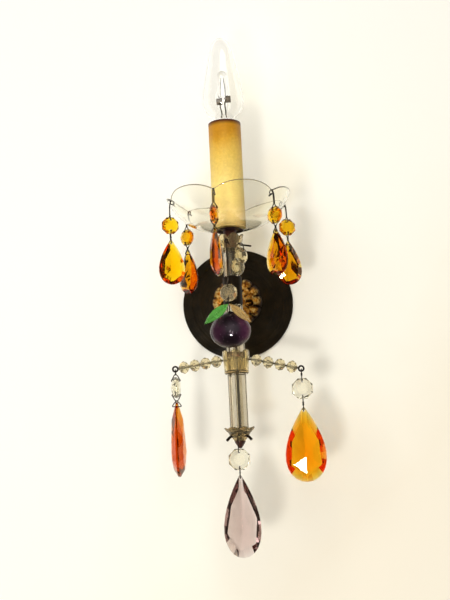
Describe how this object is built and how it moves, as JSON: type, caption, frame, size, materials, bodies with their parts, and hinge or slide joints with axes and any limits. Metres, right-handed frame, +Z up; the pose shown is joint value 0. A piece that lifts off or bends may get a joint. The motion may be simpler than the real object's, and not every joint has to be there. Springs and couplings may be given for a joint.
{
  "type": "crystal wall sconce",
  "caption": "Wall sconce with one candle lamp in a scalloped glass dish on a glass column, beaded branches, and octagon and pear crystals hanging on wires.",
  "frame": {"origin": "middle of the wall bracket's rear face, in line with the arm", "axes": "+X right, +Y into the wall, +Z up; the lamp stands off the wall towards -Y"},
  "size_m": [0.1294, 0.1496, 0.4417],
  "materials": {
    "zinc_steel": "satin zinc plate",
    "dark_bronze": "satin dark bronze lacquer",
    "gilt_casting": "aged gilt, satin",
    "aged_brass": "aged brass, satin",
    "nickel": "satin nickel plate",
    "dark_metal": "dark purple-black lacquer, gloss",
    "dish_glass": "clear pressed glass with a faint etched leaf pattern",
    "column_glass": "clear straw-coloured fluted glass, gloss",
    "crown_glass": "pale straw-coloured cut glass, gloss",
    "candle_card": "matte amber-tan card with a brown top edge",
    "bulb_glass": "clear blown glass, gloss",
    "bulb_metal": "bright nickel-plated cap",
    "capsule_glass": "clear capsule with metal supports",
    "moulded_black": "matte moulded phenolic",
    "shell_brass": "bright brass",
    "lead_cover": "matte insulated lead",
    "hook_wire": "dark blackened wire",
    "bead_glass": "creamy-yellow cut glass, gloss",
    "octagon_glass": "pale straw-coloured cut glass, gloss",
    "orange_glass": "orange cut glass, gloss",
    "yellow_glass": "bright yellow cut glass, gloss",
    "amber_glass": "amber cut glass, gloss",
    "amethyst_glass": "pale pink cut glass, gloss",
    "plum_glass": "deep plum glass, gloss",
    "green_glass": "mid-green glass, gloss",
    "olive_glass": "clear olive-beige glass, gloss"
  },
  "bodies": {
    "sconce": {"wall_bracket": "zinc_steel", "backplate": "dark_bronze", "centre_boss": "gilt_casting", "boss_screws": "gilt_casting", "arm_tube": "aged_brass", "stem_hub": "aged_brass", "stem_tube": "nickel", "stem_rod": "nickel", "stem_nuts": "aged_brass", "drip_pan": "dark_metal", "bobeche": "dish_glass", "socket_body": "moulded_black", "socket_shell": "shell_brass", "terminal_block": "moulded_black", "lead_wires": "lead_cover", "glass_crowns": "crown_glass", "glass_columns": "column_glass", "branch_wires": "aged_brass", "branch_beads": "bead_glass", "crown_pins": "hook_wire", "rim_hooks": "hook_wire", "branch_hooks": "hook_wire"},
    "candle": {"candle_sleeve": "candle_card"},
    "bulb": {"bulb_glass": "bulb_glass", "bulb_cap": "bulb_metal", "bulb_mount": "capsule_glass"},
    "rim_1_octagon": {"rim_1_bead": "octagon_glass"},
    "rim_1_pendant": {"rim_1_link": "hook_wire", "rim_1_drop": "orange_glass"},
    "rim_2_octagon": {"rim_2_bead": "yellow_glass"},
    "rim_2_pendant": {"rim_2_link": "hook_wire", "rim_2_drop": "yellow_glass"},
    "rim_3_octagon": {"rim_3_bead": "octagon_glass"},
    "rim_3_pendant": {"rim_3_link": "hook_wire", "rim_3_drop": "orange_glass"},
    "rim_4_octagon": {"rim_4_bead": "octagon_glass"},
    "rim_4_pendant": {"rim_4_link": "hook_wire", "rim_4_drop": "orange_glass"},
    "rim_5_octagon": {"rim_5_bead": "octagon_glass"},
    "rim_5_pendant": {"rim_5_link": "hook_wire", "rim_5_drop": "orange_glass"},
    "left_octagon": {"left_bead": "octagon_glass"},
    "left_pendant": {"left_link": "hook_wire", "left_drop": "orange_glass"},
    "right_octagon": {"right_bead": "octagon_glass"},
    "right_pendant": {"right_link": "hook_wire", "right_drop": "amber_glass"},
    "centre_octagon": {"centre_bead": "octagon_glass"},
    "centre_pendant": {"centre_link": "hook_wire", "centre_drop": "amethyst_glass"},
    "left_strand": {"left_strand_bead": "octagon_glass"},
    "right_strand_upper": {"right_strand_bead_upper": "octagon_glass"},
    "right_strand_lower": {"right_strand_bead_lower": "octagon_glass", "strand_link": "hook_wire"},
    "plum_chain": {"plum_wire": "hook_wire", "plum_bead": "octagon_glass"},
    "plum_cluster": {"plum_link": "hook_wire", "plum": "plum_glass", "green_leaf": "green_glass", "clear_leaf": "olive_glass"}
  },
  "joints": [
    {"name": "bulb_out", "type": "slide", "parent": "sconce", "child": "bulb", "axis": [0, 0, 1], "range_m": [0, 0.035]},
    {"name": "sleeve_lift", "type": "slide", "parent": "sconce", "child": "candle", "axis": [0, 0, 1], "range_m": [0, 0.004]},
    {"name": "rim_1_octagon_swing", "type": "hinge", "parent": "sconce", "child": "rim_1_octagon", "pos_m": [-0.03918, -0.05454, 0.0581], "axis": [0.6494, 0.7604, 0], "range_deg": [-12, 45]},
    {"name": "rim_1_drop_swing", "type": "hinge", "parent": "rim_1_octagon", "child": "rim_1_pendant", "pos_m": [-0.03918, -0.05454, 0.0489], "axis": [0.6494, 0.7604, 0], "range_deg": [-15, 45]},
    {"name": "rim_2_octagon_swing", "type": "hinge", "parent": "sconce", "child": "rim_2_octagon", "pos_m": [-0.04856, -0.1052, 0.0581], "axis": [-0.3338, 0.9426, 0], "range_deg": [-12, 45]},
    {"name": "rim_2_drop_swing", "type": "hinge", "parent": "rim_2_octagon", "child": "rim_2_pendant", "pos_m": [-0.04856, -0.1052, 0.0489], "axis": [-0.3338, 0.9426, 0], "range_deg": [-15, 45]},
    {"name": "rim_3_octagon_swing", "type": "hinge", "parent": "sconce", "child": "rim_3_octagon", "pos_m": [-0.00939, -0.13866, 0.0581], "axis": [-0.9833, 0.1822, 0], "range_deg": [-12, 45]},
    {"name": "rim_3_drop_swing", "type": "hinge", "parent": "rim_3_octagon", "child": "rim_3_pendant", "pos_m": [-0.00939, -0.13866, 0.0489], "axis": [-0.9833, 0.1822, 0], "range_deg": [-15, 45]},
    {"name": "rim_4_octagon_swing", "type": "hinge", "parent": "sconce", "child": "rim_4_octagon", "pos_m": [0.03918, -0.12146, 0.0581], "axis": [-0.6494, -0.7604, 0], "range_deg": [-12, 45]},
    {"name": "rim_4_drop_swing", "type": "hinge", "parent": "rim_4_octagon", "child": "rim_4_pendant", "pos_m": [0.03918, -0.12146, 0.0489], "axis": [-0.6494, -0.7604, 0], "range_deg": [-15, 45]},
    {"name": "rim_5_octagon_swing", "type": "hinge", "parent": "sconce", "child": "rim_5_octagon", "pos_m": [0.04856, -0.0708, 0.0581], "axis": [0.3338, -0.9426, 0], "range_deg": [-12, 45]},
    {"name": "rim_5_drop_swing", "type": "hinge", "parent": "rim_5_octagon", "child": "rim_5_pendant", "pos_m": [0.04856, -0.0708, 0.0489], "axis": [0.3338, -0.9426, 0], "range_deg": [-15, 45]},
    {"name": "left_octagon_swing", "type": "hinge", "parent": "sconce", "child": "left_octagon", "pos_m": [-0.051, -0.088, -0.0749], "axis": [-1, 0, 0], "range_deg": [-35, 50]},
    {"name": "left_drop_swing", "type": "hinge", "parent": "left_octagon", "child": "left_pendant", "pos_m": [-0.051, -0.088, -0.0861], "axis": [-1, 0, 0], "range_deg": [-35, 50]},
    {"name": "right_octagon_swing", "type": "hinge", "parent": "sconce", "child": "right_octagon", "pos_m": [0.0535, -0.088, -0.0811], "axis": [0, -1, 0], "range_deg": [-10, 40]},
    {"name": "right_drop_swing", "type": "hinge", "parent": "right_octagon", "child": "right_pendant", "pos_m": [0.0535, -0.088, -0.0923], "axis": [0, -1, 0], "range_deg": [-10, 35]},
    {"name": "centre_octagon_swing", "type": "hinge", "parent": "sconce", "child": "centre_octagon", "pos_m": [-0.0008, -0.09947, -0.1367], "axis": [0, -1, 0], "range_deg": [-10, 10]},
    {"name": "centre_drop_swing", "type": "hinge", "parent": "centre_octagon", "child": "centre_pendant", "pos_m": [-0.0008, -0.09947, -0.1479], "axis": [0, -1, 0], "range_deg": [-10, 10]},
    {"name": "left_strand_swing", "type": "hinge", "parent": "sconce", "child": "left_strand", "pos_m": [-0.01038, -0.0922, 0.0226], "axis": [-0.9272, -0.3746, 0], "range_deg": [-20, 20]},
    {"name": "right_strand_upper_swing", "type": "hinge", "parent": "sconce", "child": "right_strand_upper", "pos_m": [0.00883, -0.09489, 0.0312], "axis": [0.788, -0.6157, 0], "range_deg": [-5, 20]},
    {"name": "right_strand_lower_swing", "type": "hinge", "parent": "right_strand_upper", "child": "right_strand_lower", "pos_m": [0.00883, -0.09489, 0.022], "axis": [0.788, -0.6157, 0], "range_deg": [-5, 20]},
    {"name": "plum_chain_swing", "type": "hinge", "parent": "sconce", "child": "plum_chain", "pos_m": [-0.0025, -0.10583, 0.0375], "axis": [-0.1392, -0.9903, 0], "range_deg": [-15, 2]},
    {"name": "plum_swing", "type": "hinge", "parent": "plum_chain", "child": "plum_cluster", "pos_m": [-0.0025, -0.10583, -0.0106], "axis": [-0.1392, -0.9903, 0], "range_deg": [-12, 10]}
  ]
}
